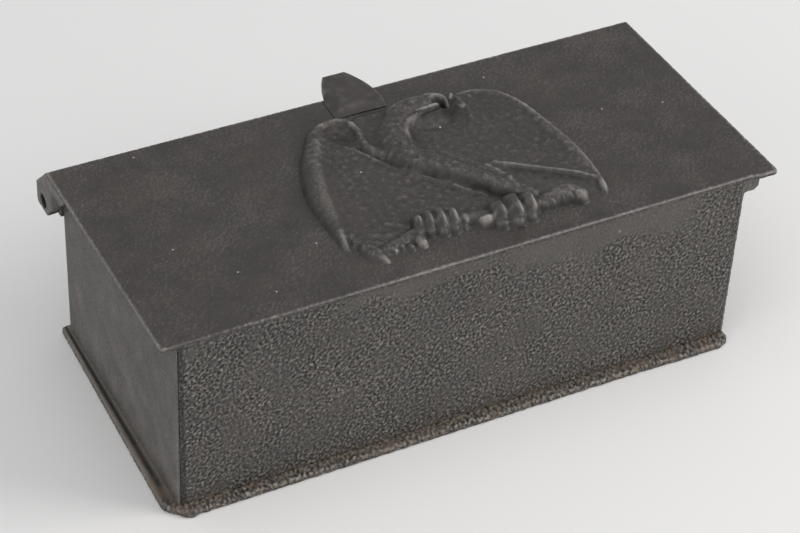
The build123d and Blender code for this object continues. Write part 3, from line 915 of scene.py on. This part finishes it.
# The wings' skins. The left one sinks towards the log and is hollow under its arch. The
# right one is hollow behind the beak.
sheet(
    [(-24, 37), (-30, 27), (-36, 15), (-40, 3), (-42, -10), (-43, -24), (-40, -36), (-26, -40), (-10, -40),
     (10, -40), (24, -38), (27, -32), (22, -27), (15, -21), (10, -13), (4, -8), (-5, 4), (-9, 10),
     (-12.5, 19), (-9, 24), (-8, 32), (-9, 39), (-16, 41)],
    lambda x, y: 1.5 + 0.016 * (y + 40) - 1.3 * np.exp(-((x + 16) ** 2 + (y - 31) ** 2) / 50),
    rim=1.2,
)
sheet(
    [(-9, 40), (-8, 30), (-11, 20), (-5, 4), (4, 0), (12, 8), (12, 24), (20, 43), (8, 44.5), (-2, 44.5)],
    lambda x, y: 1.5 + 0 * x, rim=3.0,
)
sheet(
    [(10, 20), (14, 30), (22, 36), (36, 38), (44, 40), (52, 39.5), (59, 35), (64.5, 28), (68.5, 16),
     (70.5, 2), (72, -18), (72.5, -35), (66, -33.5), (58, -28), (50, -21.5), (38, -12.5), (34, -16),
     (20, -8), (6, 4)],
    lambda x, y: 2.9 - 1.9 * np.exp(-(((x - 30) / 9) ** 2 + ((y - 26) / 8) ** 2)) + 0.35 * smooth(50, 66, x),
    rim=1.0, blend=0.3,
)

# Leading edges: the left one is a broad band from an arch at its top, the right one a bevelled rib.
ridge([(-21, 40.6, 3.4, 3), (-25, 35.6, 3.9, 4), (-29.2, 27.2, 4.3, 5), (-33.2, 19.4, 4.5, 5.6),
       (-36.4, 10.6, 4.5, 5.8), (-39, 2, 4.3, 5.8), (-40.8, -7, 4, 5.3), (-42, -16, 3.5, 4.4),
       (-43, -24, 2.9, 3.2), (-43.8, -29.5, 2.4, 2.4), (-44.6, -34.4, 1.6, 1.6)], crown=0.72, lean=0.13)
ridge([(-25, 37.5, 3.4, 3), (-19.5, 41, 3.9, 2.8), (-14.5, 41.6, 4.2, 2.6), (-10.4, 40, 4.5, 2.6),
       (-8.4, 36.5, 4.8, 2.6), (-8, 31, 4.7, 2.8), (-9, 25, 4.2, 3), (-8.2, 18.5, 3.8, 3.6),
       (-4, 13, 3.6, 3.8)], crown=0.8, lean=-0.25)
ridge([(44, 38.8, 3.2, 1.8), (50, 38.6, 3.5, 2.4), (55, 36.6, 3.8, 3), (60, 32.6, 4, 3.6),
       (62.8, 28.6, 4.1, 3.8), (65.4, 22.5, 4.2, 4.2), (67.2, 15, 4.3, 4.6), (68.2, 7, 4.4, 5.2),
       (69.2, -2, 4.5, 5.6), (70.6, -12, 4.5, 5.6), (71.2, -21, 4.3, 5.2), (71.3, -30, 4, 4),
       (71.2, -37, 3.6, 3), (70.8, -42.6, 2.8, 2.4)], crown=0.85, lean=0.30)
# Its trailing edge is a thin rib, and the wing's underside slopes away below that.
ridge([(37, -12.5, 3, 8), (45, -17.8, 3.2, 8.5), (52, -23, 3.2, 8), (59, -28.6, 3, 7), (66, -34.3, 2.8, 5)],
      crown=1.6, blend=0.3, lean=0.85)
ridge([(34.5, -10.2, 3.6, 1.2), (38, -13, 4.3, 1.4), (45, -18.4, 4.5, 1.4), (50, -22, 4.5, 1.4),
       (56, -26.2, 4.5, 1.4), (62.5, -31, 4.5, 1.5), (68.5, -36.6, 4.3, 1.7), (70.4, -39.6, 3.6, 1.9)],
      crown=0.7, blend=0.6)
# The upper rim of the left wing's skin, where the body stands over it across a narrow hollow.
ridge([(-18, 27, 1.6, 1.6), (-13, 20, 2.6, 1.5), (-9, 11, 3, 1.5), (-4.7, 3.8, 3.2, 1.5),
       (3.6, -7, 3.2, 1.5), (9.8, -13, 3.2, 1.5), (13.3, -17.6, 3.2, 1.5), (17, -22.6, 3, 1.4),
       (23, -27.8, 2.4, 1.2)], crown=0.8, blend=0.8)

# The neck falls steeply to the right and softly to the left. The body runs on from it to the
# tail as a broad mound, steep on the near side, and the head looks back over the right wing.
ridge([(19, 35.6, 7, 7), (13.5, 31, 6.8, 7.6), (8.2, 24.5, 6.5, 7.6), (5.6, 17, 6.3, 7.6),
       (4.2, 9, 6.3, 7.6), (6, 1, 6.4, 7)], crown=0.9, blend=1.4, lean=0.36)
ridge([(21.5, 30.2, 6.6, 2.2), (18, 28.6, 6.5, 2.5), (14.3, 26.6, 6.4, 2.7), (11.2, 23, 6.3, 2.8),
       (9.4, 18.4, 6.2, 2.8), (8.1, 13.4, 6.1, 2.7), (6.6, 9, 6.1, 2.5), (5, 5.2, 6.1, 2.2)],
      crown=0.6, blend=1.6)
# The throat slopes away under the beak.
ridge([(17, 28.4, 5, 8), (22, 29.6, 5.5, 10.5), (28, 31, 5.2, 10.5), (33, 32.6, 4.2, 8.5),
       (37, 33.5, 3.2, 6)], crown=1.0, blend=1.2)
ridge([(9, 13, 5, 6), (13.5, 7, 5.8, 8), (18.5, -1.5, 5.6, 8.6), (24, -9, 5, 7.6), (30, -16, 4.4, 5.6),
       (36, -22.5, 4, 4)], crown=1.1, blend=1.6)
ridge([(5, 8, 6.4, 6.6), (9, 1, 6.8, 7.2), (14, -6.2, 7.2, 7.2), (19, -13.4, 7.2, 6.6),
       (24.4, -19.6, 6.8, 6), (30, -25.4, 6, 5), (35.4, -30.6, 5.2, 4.2), (40.6, -35.6, 3.8, 3.4)],
      crown=0.5, blend=1.2)
ridge([(13.5, 34.4, 6.9, 6.2), (18, 35.6, 7.6, 6), (22.5, 36.2, 7.9, 5.6), (27, 36.6, 7.6, 4.4),
       (30.4, 37, 7.2, 3)], crown=0.3, blend=0.8)
ridge([(27.5, 38.6, 7.8, 2), (31.2, 38.2, 7.6, 1.8), (34.4, 37.2, 7.2, 1.6), (36.2, 34.8, 6.4, 1.4),
       (36, 32.4, 5.2, 1)], crown=0.5, blend=0.4)
ridge([(20.4, 31, 6.6, 0.9), (23.6, 31.5, 6.8, 0.9), (27.6, 32.4, 6.7, 0.9), (32.2, 33.8, 6.3, 0.8)],
      crown=0.8, blend=0.3)
ridge([(41.2, 38.8, 4.4, 1.4), (42.4, 35, 4.2, 1.4), (43.2, 30, 4, 1.5), (42.8, 24, 3.6, 1.6),
       (40, 18, 3.3, 1.8), (36.5, 13.5, 3, 2)], crown=0.7, blend=1.0)
ridge([(41.6, 39.4, 4.6, 1), (39.4, 36, 4.4, 1), (38.4, 33.6, 3.8, 0.9)], crown=0.6, blend=0.3)

# The log, then the toes of both claws closed over it.
ridge([(-31, -42, 2.2, 3), (-22, -40, 2.9, 3.2), (-12, -37.6, 3.6, 3.2), (0, -37.8, 3.8, 3.3),
       (8, -39, 4.5, 3.5), (18, -40.8, 4.3, 3.6), (28, -41.8, 4.2, 3.6), (38, -42.4, 4.3, 3.7),
       (44, -42, 5.4, 4.4), (50, -41.4, 6.6, 5), (54.5, -42, 6.4, 4.9), (58, -44.2, 5, 4)], crown=0.62)
toes = (
    (-13, -32.4, -38, 7.4, 2.7), (-8.6, -31.8, -39.8, 8.2, 2.8), (-4, -32.8, -41.4, 8.9, 3.2),
    (1.2, -34.2, -41.2, 8.2, 3.3), (5.7, -38.6, -42, 4.2, 1.8),
    (20.7, -37.8, -46.2, 8.2, 4), (27, -37.4, -47.8, 9.6, 4.2), (33.8, -38.8, -46.8, 9, 4),
)
for toe_x, back_y, front_y, high, wide in toes:
    ridge([(toe_x + 0.2, back_y, high * 0.62, wide * 0.9), (toe_x, back_y - 2, high * 0.97, wide),
           (toe_x, (back_y + front_y) / 2, high * 0.95, wide * 0.95),
           (toe_x - 0.3, front_y + 2.2, high * 0.84, wide),
           (toe_x - 0.7, front_y, high * 0.45, wide * 0.9)], crown=0.38, blend=0.1)
ridge([(12, -42.8, 4.4, 1.8), (14.8, -43.2, 4.9, 2.2), (16.8, -43, 4.4, 1.9)], crown=0.5, blend=0.3)

# Leaves and knobs at the log's left end.
for leaf in (
    [(-37.4, -34.5, 2, 2.8), (-36.8, -38.6, 2.7, 3.8), (-35.4, -43, 2.6, 3.4), (-33.6, -47.8, 1.5, 1.8)],
    [(-40.6, -34, 1.6, 1.4), (-36, -35.6, 2.6, 1.2), (-31, -38.6, 2.4, 1.2)],
    [(-29, -41.4, 2.4, 2), (-28.2, -43.2, 2.6, 2)],
    [(-24.6, -40.8, 2.6, 1.8), (-24.2, -43, 2.7, 1.7)],
    [(-21, -44.4, 2.4, 1.5), (-20.6, -45.4, 2.3, 1.4)],
    [(-16.6, -41.6, 3.6, 2.6), (-15.6, -44.2, 3.2, 2.7)],
    [(-14.2, -35, 2.6, 1.8), (-19.5, -31.2, 2.6, 1.8), (-24.2, -27.4, 2.3, 1.6)],
    [(-21, -36, 1.8, 1.6), (-27, -35, 2.4, 1.8), (-33, -32.5, 2.2, 1.6), (-38, -30, 1.6, 1.2)],
):
    ridge(leaf, crown=0.5, blend=0.3)

# The cuts: the open beak, the slit under its lower half and the quills of both wings.
groove([(30.8, 35.4), (33.2, 35.6), (34.2, 33.8), (34, 32)], 3.6, 0.9)
groove([(21, 28.8), (24.6, 29.4), (28.4, 30.2), (31.5, 31.4)], 1, 0.7)
for inward in (4, 8, 12.5):
    groove([(-24 + inward, 30 - inward), (-31 + inward, 17), (-36 + inward, 3), (-38 + inward, -12),
            (-38 + inward, -27)], 0.22, 0.8)
for x0, y0, x1, y1 in (
    (24, 14, 64, -2), (27, 7, 65, -10), (30, 0, 66, -18), (33, -7, 67, -26), (22, 21, 63, 8)
):
    groove([(x0, y0), ((x0 + x1) / 2 + 1.5, (y0 + y1) / 2 + 2.5), (x1, y1)], 0.26, 0.9)

# How rough the casting is from place to place: plain on the bands, barky on the log, feathered
# on the body and coarse about the leaves.
bark = np.full_like(grid_x, 0.34)
for points, amount, reach in (
    ([(14, 30), (6, 20), (2, 8), (12, -4), (24, -18), (36, -31)], 0.75, 7),
    ([(38, -46), (47, -46), (57, -47)], 1.5, 4.5),
    ([(-40, -36), (-30, -42), (-18, -45)], 0.9, 6),
    ([(-24, 36), (-30, 28), (-28, 16)], 0.5, 7),
    ([(-17, 34), (-12, 27)], 0.8, 4),
    ([(-28, 29), (-34.6, 15), (-39.6, -3), (-42.6, -20)], -0.40, 4.5),
):
    brush(bark, points, amount, reach)
for toe_x, back_y, front_y, high, wide in toes:
    brush(bark, [(toe_x, back_y), (toe_x, front_y)], -0.5, 2.4)
bark = np.clip(bark, 0.1, 1.8)
carve_size = (carve_high.x - carve_low.x, carve_high.y - carve_low.y)
grain_fine = cast_skin(carve_size, 2.0, 0.7, seed=51)(grid_x - carve_low.x, grid_y - carve_low.y)
grain_broad = cast_skin(carve_size, 5.0, 0.8, seed=52)(grid_x - carve_low.x, grid_y - carve_low.y)
# The feathers' grain is drawn out down the body and the wings.
down, across_it = 0.62 * grid_x - 0.78 * grid_y, 0.78 * grid_x + 0.62 * grid_y
down, across_it = down - down.min(), across_it - across_it.min()
feathers = cast_skin((down.max() / 2, across_it.max()), 2.4, 0.6, seed=53)(down / 2, across_it)
carved = softened(carved, 0.42)
on = smooth(0.4, 1.6, carved)
bumps = 0.018 * grain_fine + np.minimum(0.2 * bark, 0.08) * grain_broad
carved = carved + on * (bumps + bark * (0.040 * grain_fine + 0.08 * feathers))

# Only what stands up from the lid is kept. Its outermost points go down into the lid's plate.
cell_kept = np.any(corners(carved > 0.08), axis=0)
ringed = np.all(corners(np.pad(cell_kept, 1)), axis=0)
cell_kept &= np.any(corners(ringed), axis=0)
quads = np.stack(corners(np.arange(carved.size).reshape(carved.shape)), -1)[cell_kept]
used = np.unique(quads)
sunk, root, tallest = 0.12, -0.3, carve_high.z - lid_high.z + 1.5
heights = np.minimum(np.where(ringed, np.maximum(carved, 0.0) - sunk, root), tallest)
eagle_points = np.stack([grid_x.ravel(), grid_y.ravel(), (heights + lid_high.z).ravel()], 1)[used]
eagle_iron = iron_finish(
    "eagle_iron", ((0.010, 0.009, 0.008), (0.056, 0.050, 0.047), (0.30, 0.28, 0.26)),
    rust=0.10, shine=0.46, grain=0.14, patch=20, speck=0.03,
)
eagle_mesh = new_mesh("eagle_carving", eagle_points, np.searchsorted(used, quads).tolist())
worn = (
    0.47 + 0.18 * (carved - softened(carved, 0.9)) + 0.024 * (carved - softened(carved, 3.0))
    + 0.022 * grain_fine + np.minimum(0.08 * bark, 0.03) * grain_broad
)
worn = np.where(carved < 0.7, np.maximum(worn, 0.36), worn)
# Painted highlights where the light catches the carving's edges, some of them wear as well, and painted
# shade in its hollows, under its edges and on the sides turned from the light.
for points, amount, reach in (
    ([(20.6, 30.9), (24, 31.5), (28, 32.3), (32.2, 33.6)], 0.40, 0.7),
    ([(12.6, 38.6), (16.4, 41), (20.5, 41.8), (25, 41), (28, 39.2)], 0.20, 0.8),
    ([(28.5, 39), (32, 38.6), (35.4, 37.4), (36.8, 35)], 0.12, 0.8),
    ([(35.9, 33), (35.8, 31.4)], 0.20, 0.8),
    ([(41.4, 39.2), (39.6, 36.2)], 0.34, 0.7),
    ([(41.6, 31), (42.2, 29.4)], 0.45, 0.8),
    ([(14, 39.6), (14.8, 40.4)], 0.45, 0.6),
    ([(19, 29), (14.4, 26.6), (11.4, 23), (9.6, 18.4)], 0.14, 1.4),
    ([(9.6, 18.4), (8.3, 13.4), (6.8, 9), (5, 5.2)], 0.05, 2.2),
    ([(-20.6, 41.2), (-19.4, 41.6)], 0.34, 0.8),
    ([(-8.2, 36.4), (-7.8, 33.6)], 0.18, 1.1),
    ([(-15, 42.2), (-11, 41.4)], 0.16, 1),
    ([(-26, 31), (-32, 20), (-36.6, 8), (-39.6, -4), (-41.4, -16)], 0.07, 3),
    ([(-42.6, -26), (-43.8, -30), (-44.4, -33)], 0.20, 1.4),
    ([(44.8, 38.9), (54, 37.6), (60.6, 33.2), (64.2, 27.2), (66.8, 18)], 0.16, 0.8),
    ([(61.8, 31.6), (64.4, 27)], 0.20, 0.9),
    ([(66.8, 18), (69.4, 7.4), (70.8, -2), (72.2, -12), (72.6, -22), (72.2, -32), (71, -42)], 0.14, 1),
    ([(68.4, 6), (69.4, -8), (70.6, -20), (71, -31)], 0.05, 3),
    ([(70.6, -41.4), (70.8, -43.6)], 0.24, 1.3),
    ([(36, -11.4), (45, -18.4), (56, -26.2), (62.5, -31), (68.5, -36.6)], 0.20, 0.9),
    ([(31.5, -10.8), (33.4, -14.6), (35.2, -19.6)], 0.26, 1),
    ([(-16.8, 25), (-11.8, 17.4), (-7.4, 9.2)], 0.12, 0.7),
    ([(13, -17.4), (17, -22.4), (22.8, -27.6)], 0.20, 0.5),
    ([(13, -44.2), (16.6, -44.4)], 0.40, 1.3),
    ([(45, -39), (52, -38.2), (57, -40.6)], 0.08, 2.6),
    ([(57.2, -45.6), (60.2, -46.6)], 0.20, 1.6),
    ([(-33.8, -46.6), (-33.2, -49)], 0.24, 1.2),
    ([(-16.4, -45.6), (-15, -46.6)], 0.30, 1.4),
    ([(-18, 33), (-14, 27)], -0.20, 4.2),
    ([(38.4, 34), (38, 30), (34, 28)], -0.24, 2.6),
    ([(20.5, 29.6), (26, 30.5), (32, 32)], -0.36, 0.9),
    ([(23, 26.5), (29, 27.5), (35, 29)], -0.14, 4.5),
    ([(13.5, 21), (12, 14), (14, 10)], -0.10, 2.4),
    ([(-6, 7.4), (1, -1.4), (7.6, -8.4), (13.4, -14.8), (18, -20), (24, -26)], -0.20, 1.5),
    ([(20, -24), (26, -30), (33, -36)], -0.18, 2.6),
    ([(41, -19.4), (50, -25.6), (60, -33), (66, -38)], -0.16, 2.6),
    ([(40, -46.4), (48, -46.8), (56, -48.4)], -0.16, 1.6),
    ([(-44.6, 6), (-47.2, -8), (-47.6, -22)], -0.10, 2),
    ([(-28, 38.6), (-35, 28), (-41, 15), (-44.6, 5)], -0.10, 2),
):
    brush(worn, points, amount, reach)
# Each toe is darker along its middle, with painted shade down its left flank and a painted highlight at its
# lower right.
for toe_x, back_y, front_y, high, wide in toes:
    brush(worn, [(toe_x, back_y), (toe_x - 0.4, front_y)], -0.09, 2.4)
    brush(worn, [(toe_x + 0.42 * wide, front_y + 3.4), (toe_x + 0.5 * wide, front_y + 1.0)], 0.32, 1.0)
    brush(worn, [(toe_x - 0.96 * wide, back_y - 2), (toe_x - 0.96 * wide, front_y + 1)], -0.14, 0.6)
mark(eagle_mesh, "wear_and_painted_light", worn.ravel()[used])
shell = bmesh.new()
shell.from_mesh(eagle_mesh)
for face in shell.faces:
    face.smooth = True
# A narrow skirt goes down into the lid's plate and one face closes it.
skirt = bmesh.ops.extrude_edge_only(shell, edges=[edge for edge in shell.edges if edge.is_boundary])
for part in skirt["geom"]:
    if isinstance(part, bmesh.types.BMVert):
        part.co.z += root * mm
bmesh.ops.holes_fill(shell, edges=[edge for edge in shell.edges if edge.is_boundary], sides=0)
bmesh.ops.recalc_face_normals(shell, faces=shell.faces)
put_back(shell, eagle_mesh)
show("eagle_carving", eagle_mesh, eagle_iron, "lid", "eagle_relief")


# -------- tongue
# A thin forged strap is riveted to the lid's rear middle and tapers out
# behind it, as a lift for the lid. Its edges are dressed round and bright.
tongue_grain = grain_block(1.1, seed=63)
tongue_low, tongue_high = box_of("lid_tongue")


def hammered(points):
    """The strap's root beaten down on the lid, at its end and along its left edge."""
    x, y, z = points.T
    root = 0.25 + 0.75 * smooth(tongue_low.y, tongue_low.y + 4.5, y)
    left = 0.20 + 0.80 * smooth(tongue_low.x, tongue_low.x + 5.0, x)
    left = np.maximum(left, smooth(lid_high.y - 2, lid_high.y + 3, y))
    over = np.clip(z - lid_high.z, 0, None)
    return np.stack([x, y, z - over * (1 - root * left)], 1)


plug_radius, plug_depth, plug_sunk = 2.6, 0.98, 0.5
tongue_plugs = [
    ((*middle[:2], tongue_high.z - plug_sunk), plug_radius, plug_depth)
    for _, middle, _ in bits("lid_tongue_rivets")
]
as_cast(
    "lid_tongue_worn", "lid_tongue", lid_iron, "lid",
    voxel=0.35, rubs=3, grains=((tongue_grain, 0.012), (soft_grain, 0.02)), plugs=tongue_plugs,
    press=hammered,
)


# -------- hinge
# At each rear corner an ear hangs from the lid's edge, braced forward under
# it, and turns on a plain pin. The pin is pressed in a knuckle that stands
# on a pad, and the pad is riveted to the rear wall.
hinge_iron = iron_finish(
    "hinge_iron", ((0.020, 0.018, 0.017), (0.110, 0.101, 0.096), (0.21, 0.195, 0.185)),
    rust=0.12, shine=0.54, grain=0.04, patch=16, mottle=0.08,
)
# The lugs' skin is darker than the ears': painted shade for the hollow under the lid where a lug's face
# shows.
lug_iron_painted_shade = iron_finish(
    "lug_iron_painted_shade", ((0.014, 0.012, 0.011), (0.048, 0.044, 0.041), (0.17, 0.155, 0.145)),
    rust=0.30, shine=0.50, grain=0.10, patch=16,
)
# The pins' skin is nearly black with little shine: painted shade, so the pin's hole looks dark.
painted_shade_pin_iron = iron_finish(
    "painted_shade_pin_iron", ((0.006, 0.005, 0.005), (0.014, 0.012, 0.011), (0.06, 0.055, 0.05)),
    rust=0.05, shine=0.42, grain=0.04, patch=16,
)
painted_shade_pin_iron.node_tree.nodes["Principled BSDF"].inputs["Specular IOR Level"].default_value = 0.15
_, pin_middle, _ = bits("hinge_pin_left")[0]


def ear_painted_shade(points):
    """Painted shade where the brace runs forward under the lid, and in the pin's hole."""
    x, y, z = points.T
    off_axis = np.hypot(y - pin_middle[1], z - pin_middle[2])
    return 0.6 * np.maximum(smooth(59, 54, y) * smooth(85, 79, z), smooth(4.0, 3.2, off_axis))


def pin_in(points):
    """The pin stands back from the ear's outer face, in a dark hole."""
    x, y, z = points.T
    middle, half = (x.min() + x.max()) / 2, (x.max() - x.min()) / 2
    out = (x - middle) / half * np.sign(middle)
    return np.stack([x - np.sign(middle) * 1.3 * smooth(0.2, 1.0, out), y, z], 1)


for end in ("left", "right"):
    as_cast(
        f"lid_ear_{end}_worn", f"lid_ear_{end}", hinge_iron, "lid",
        voxel=0.35, rubs=3, grains=((tongue_grain, 0.006), (soft_grain, 0.05)), painted_shade_at=ear_painted_shade,
    )
    as_cast(
        f"hinge_lug_{end}_worn", f"hinge_lug_{end}", lug_iron_painted_shade, "box",
        voxel=0.4, rubs=3, grains=((tongue_grain, 0.02), (soft_grain, 0.06)),
    )
    as_cast(
        f"hinge_pin_{end}_worn", f"hinge_pin_{end}", painted_shade_pin_iron, "box",
        voxel=0.3, rubs=2, grains=((soft_grain, 0.02),), press=pin_in,
    )


# -------- rivets
# Domed iron rivets hold the hinge pads to the rear wall, and the tongue and
# the eagle to the lid. The ears hang on drive rivets filed flush with the lid.
tree, given, result = start_tree("domed rivet", "Head Radius", "Head Height")
ball = node(tree, "GeometryNodeMeshUVSphere", {"Segments": 24, "Rings": 12, "Radius": 1.0})
ball_size = node(tree, "ShaderNodeCombineXYZ", {
    "X": given["Head Radius"], "Y": given["Head Radius"], "Z": given["Head Height"]
})
ball = node(tree, "GeometryNodeTransform", {"Geometry": ball, "Scale": ball_size})
height = node(tree, "ShaderNodeSeparateXYZ", {0: node(tree, "GeometryNodeInputPosition")}, out="Z")
below, above = maths(tree, "LESS_THAN", height, -1e-5), maths(tree, "GREATER_THAN", height, 1e-5)
dome = node(tree, "GeometryNodeDeleteGeometry", {"Geometry": ball, "Selection": below}, domain="POINT")
foot = node(tree, "GeometryNodeMeshCircle", {
    "Vertices": 24, "Radius": given["Head Radius"]
}, fill_type="NGON")
foot = node(tree, "GeometryNodeFlipFaces", {0: foot})
dome = node(tree, "GeometryNodeMergeByDistance", {"Geometry": joined(tree, dome, foot), "Distance": 1e-6})
dome = node(tree, "GeometryNodeSetShadeSmooth", {0: dome, 2: above})
rivet_tree = set_out(tree, given, result, dome, twist_seed=6)

lug_rivet = {"Head Radius": 3.4, "Head Height": 1.6, "Shank Radius": 2.0, "Shank Length": 3.4}
lug_spots = []
for low, middle, high in bits("hinge_lug_rivets"):
    for face, way in ((low[1] + lug_rivet["Head Height"], -1), (high[1] - lug_rivet["Head Height"], 1)):
        lug_spots.append(((middle[0], face, middle[2]), (0, way, 0)))
fitted(
    "hinge_lug_rivets_domed", rivet_tree, lug_spots, lug_rivet, hinge_iron,
    "box", "hinge_lug_rivets",
)

# The others stand in the lid, each kind at one level and facing down or up.
ear_sunk = 0.9
for name, plain, level, way, material, sizes in (
    ("eagle_rivets_domed", "eagle_relief_rivets", lid_low.z, -1, hinge_iron, (3.06, 1.4, 1.8, 4.0)),
    ("tongue_rivets_domed", "lid_tongue_rivets", lid_low.z, -1, hinge_iron, (3.4, 1.4, 2.0, 2.9)),
    ("ear_rivets_flush", "lid_ear_rivets", lid_high.z - ear_sunk, 1, lid_iron, (2.2, 0.4, 1.3, 5.3)),
):
    spots = [((middle[0], middle[1], level), (0, 0, way)) for _, middle, _ in bits(plain)]
    fitted(name, rivet_tree, spots, dict(zip(lug_rivet, sizes)), material, "lid", plain)
